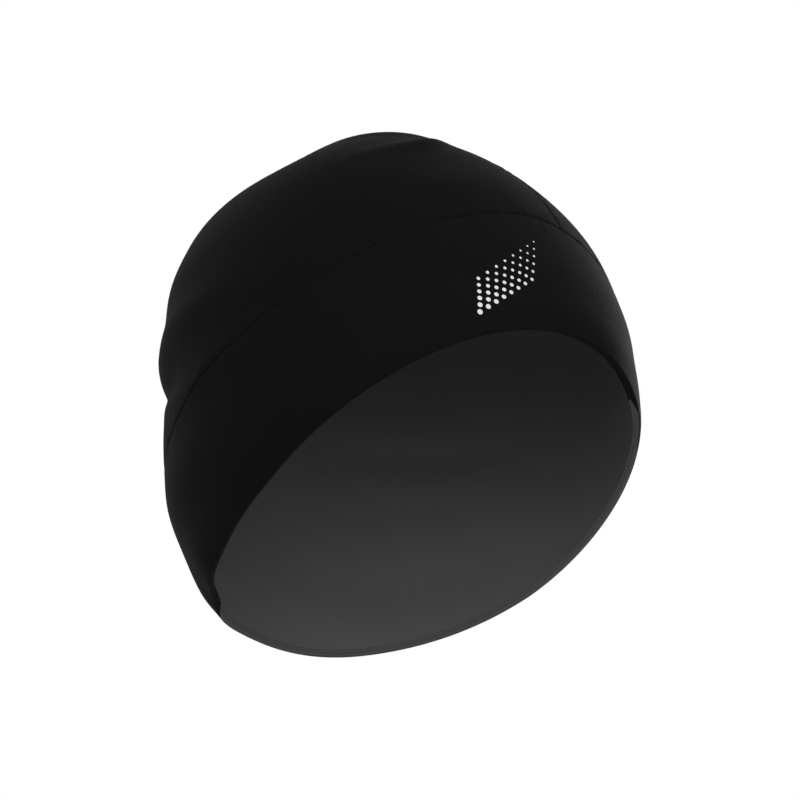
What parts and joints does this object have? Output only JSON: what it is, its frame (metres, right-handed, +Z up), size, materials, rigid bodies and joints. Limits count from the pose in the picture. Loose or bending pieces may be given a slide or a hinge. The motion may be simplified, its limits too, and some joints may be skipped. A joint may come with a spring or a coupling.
{
  "type": "neoprene surf beanie",
  "caption": "Close-fitting black neoprene beanie for cold-water surfing: a domed crown on a slanted band that covers brow, ears and nape, with a grey lining.",
  "frame": {"origin": "middle of the head opening, where the beanie sits on a head", "axes": "+Z up through the crown, -Y towards the forehead, +X towards the wearer's left ear"},
  "size_m": [0.178, 0.1816, 0.1803],
  "materials": {
    "neoprene": "matt black knit face on foam rubber",
    "band_neoprene": "matt black knit face on foam rubber, slightly smoother than the crown",
    "lining": "matt charcoal grey brushed lining",
    "thread": "matt black sewing thread",
    "print": "light grey soft rubber print"
  },
  "bodies": {
    "root": {"crown_right": "neoprene", "crown_left": "neoprene", "band": "band_neoprene", "lining": "lining"}
  },
  "joints": []
}
